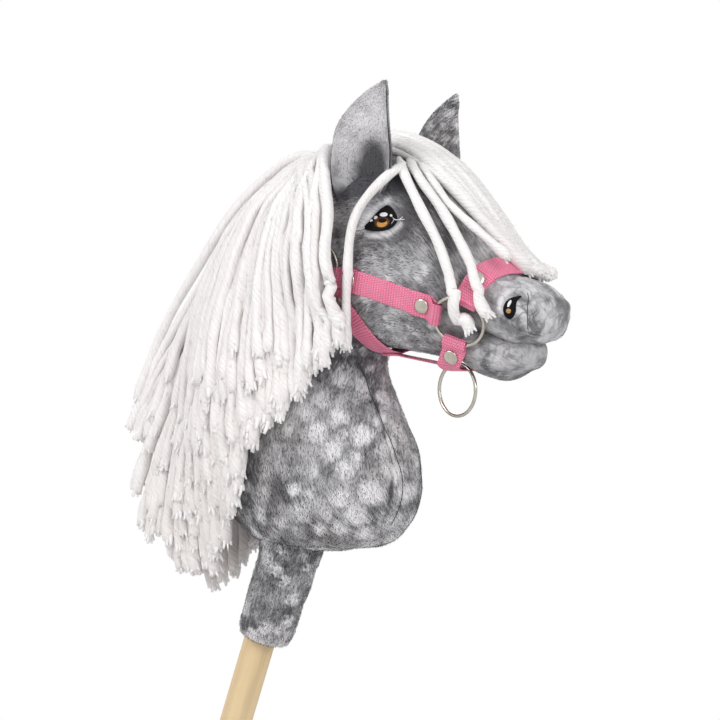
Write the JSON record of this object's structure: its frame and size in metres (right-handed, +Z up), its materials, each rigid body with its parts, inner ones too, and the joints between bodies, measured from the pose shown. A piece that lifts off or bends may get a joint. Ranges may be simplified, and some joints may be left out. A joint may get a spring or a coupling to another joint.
{
  "type": "hobby horse",
  "caption": "Stuffed plush horse head with a yarn mane, embroidered eyes and a webbing halter with metal rings, on a round wooden stick.",
  "frame": {"origin": "centre of the stick's flat foot face", "axes": "+Z up as the picture shows it, +X the way the horse faces, +Y to the horse's left; the stick leans forward by 20 degrees from the foot"},
  "size_m": [0.4629, 0.147, 0.9033],
  "materials": {
    "wood": "sanded, clear",
    "plush": "short dapple-grey pile",
    "ear_lining": "short pale pile",
    "yarn": "thick soft roving yarn",
    "tape": "woven tape",
    "webbing": "woven webbing",
    "nickel": "polished nickel plate",
    "thread": "satin-stitched embroidery"
  },
  "bodies": {
    "horse": {"stick": "wood", "stick_sleeve": "plush", "neck_body": "plush", "head_body": "plush", "lower_lip": "plush", "ear_shell_right": "plush", "ear_shell_left": "plush", "ear_lining_right": "ear_lining", "ear_lining_left": "ear_lining", "eye_patch_right": "thread", "eye_patch_left": "thread", "nostril_patch_right": "thread", "nostril_patch_left": "thread", "mane_tape": "tape", "mane_right": "yarn", "mane_left": "yarn", "forelock": "yarn", "forelock_strand_1": "yarn", "forelock_strand_2": "yarn", "forelock_strand_3": "yarn", "cheek_strap_right": "webbing", "cheek_strap_left": "webbing", "noseband": "webbing", "chin_strap": "webbing", "throat_strap": "webbing", "crown_strap": "webbing", "jaw_strap": "webbing", "rivet_cheek_front_right": "nickel", "rivet_cheek_front_left": "nickel", "rivet_cheek_rear_right": "nickel", "rivet_cheek_rear_left": "nickel", "rivet_nose_right": "nickel", "rivet_nose_left": "nickel", "rivet_chin_right": "nickel", "rivet_chin_left": "nickel", "rivet_throat_right": "nickel", "rivet_throat_left": "nickel", "rivet_crown_right": "nickel", "rivet_crown_left": "nickel"},
    "cheek_ring_right": {"cheek_ring_right": "nickel"},
    "cheek_ring_left": {"cheek_ring_left": "nickel"},
    "throat_ring_right": {"throat_ring_right": "nickel"},
    "throat_ring_left": {"throat_ring_left": "nickel"},
    "lead_ring": {"lead_ring": "nickel"}
  },
  "joints": [
    {"name": "lead_ring_swing", "type": "hinge", "parent": "horse", "child": "lead_ring", "pos_m": [0.36453, -0.00603, 0.66953], "axis": [0.9703, -0.2419, 0], "range_deg": [-60, 30]},
    {"name": "cheek_ring_right_spin", "type": "hinge", "parent": "horse", "child": "cheek_ring_right", "pos_m": [0.38911, -0.04308, 0.70318], "axis": [0.0819, -0.8861, -0.4563], "continuous": true},
    {"name": "cheek_ring_left_spin", "type": "hinge", "parent": "horse", "child": "cheek_ring_left", "pos_m": [0.38908, 0.04299, 0.70318], "axis": [0.079, 0.8853, -0.4583], "continuous": true},
    {"name": "throat_ring_right_spin", "type": "hinge", "parent": "horse", "child": "throat_ring_right", "pos_m": [0.25611, -0.05237, 0.74883], "axis": [-0.0632, -0.9958, -0.0661], "continuous": true},
    {"name": "throat_ring_left_spin", "type": "hinge", "parent": "horse", "child": "throat_ring_left", "pos_m": [0.25613, 0.05232, 0.74884], "axis": [-0.0607, 0.996, -0.0654], "continuous": true}
  ]
}
